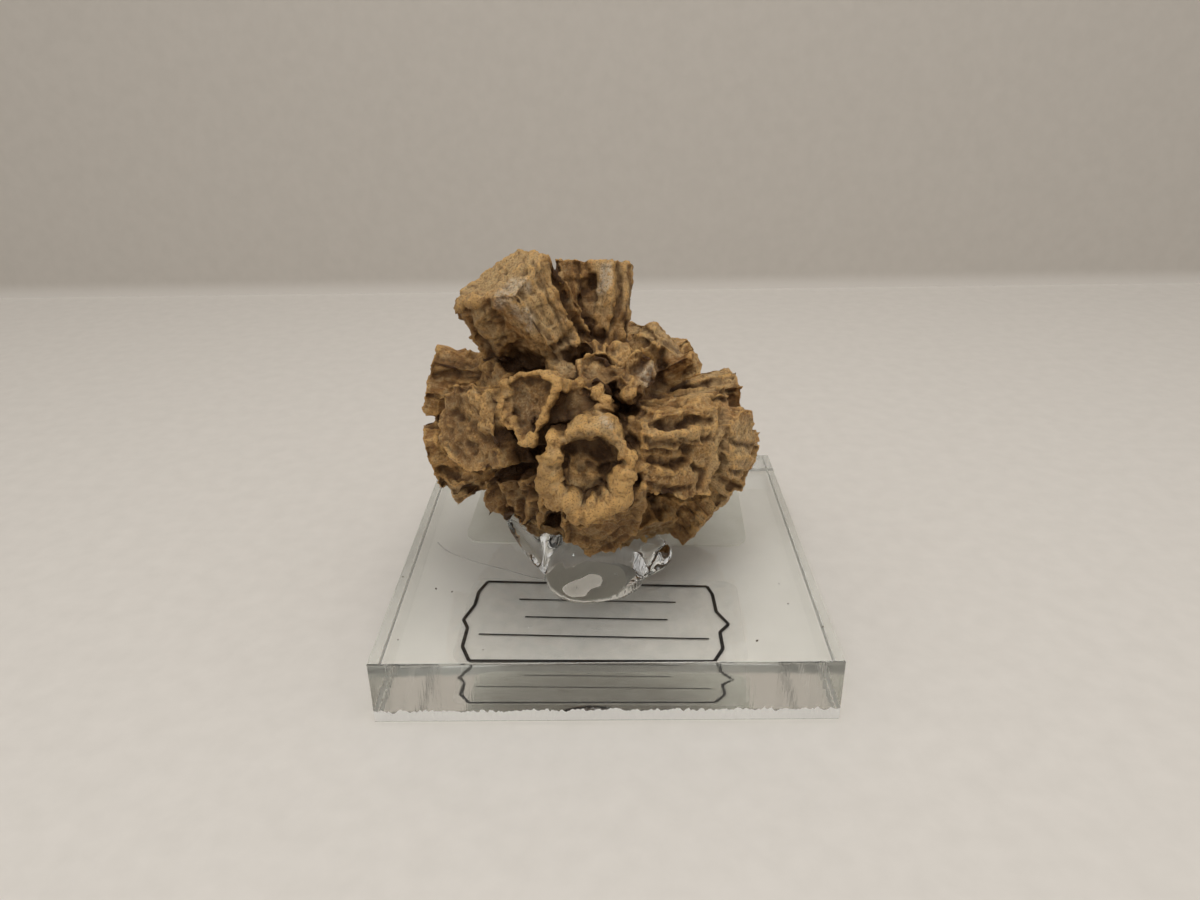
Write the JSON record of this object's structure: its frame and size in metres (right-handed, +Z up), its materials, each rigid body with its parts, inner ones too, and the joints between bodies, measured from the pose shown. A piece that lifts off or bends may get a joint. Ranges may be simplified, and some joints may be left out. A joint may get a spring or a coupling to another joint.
{
  "type": "calcite pseudomorph mineral specimen on an acrylic base",
  "caption": "Rosette of tan calcite prisms after aragonite, held by clear glue on a square clear acrylic base with two labels underneath.",
  "frame": {"origin": "middle of the underside, on the surface that the base stands on", "axes": "+Z up, +X to the right and +Y to the back as the specimen faces the viewer"},
  "size_m": [0.0508, 0.0508, 0.0469],
  "materials": {
    "calcite": "rough, ribbed and pitted, golden rims and dark crevices",
    "clear_glue": "clear, glossy, poured",
    "acrylic": "clear, polished faces, faintly saw-marked edges",
    "clear_film": "thin clear sticker with a printed border",
    "label_paper": "plain cream paper sticker"
  },
  "bodies": {
    "root": {"calcite_cluster": "calcite", "mounting_glue": "clear_glue", "acrylic_base": "acrylic", "print_label": "clear_film", "plain_label": "label_paper"}
  },
  "joints": []
}
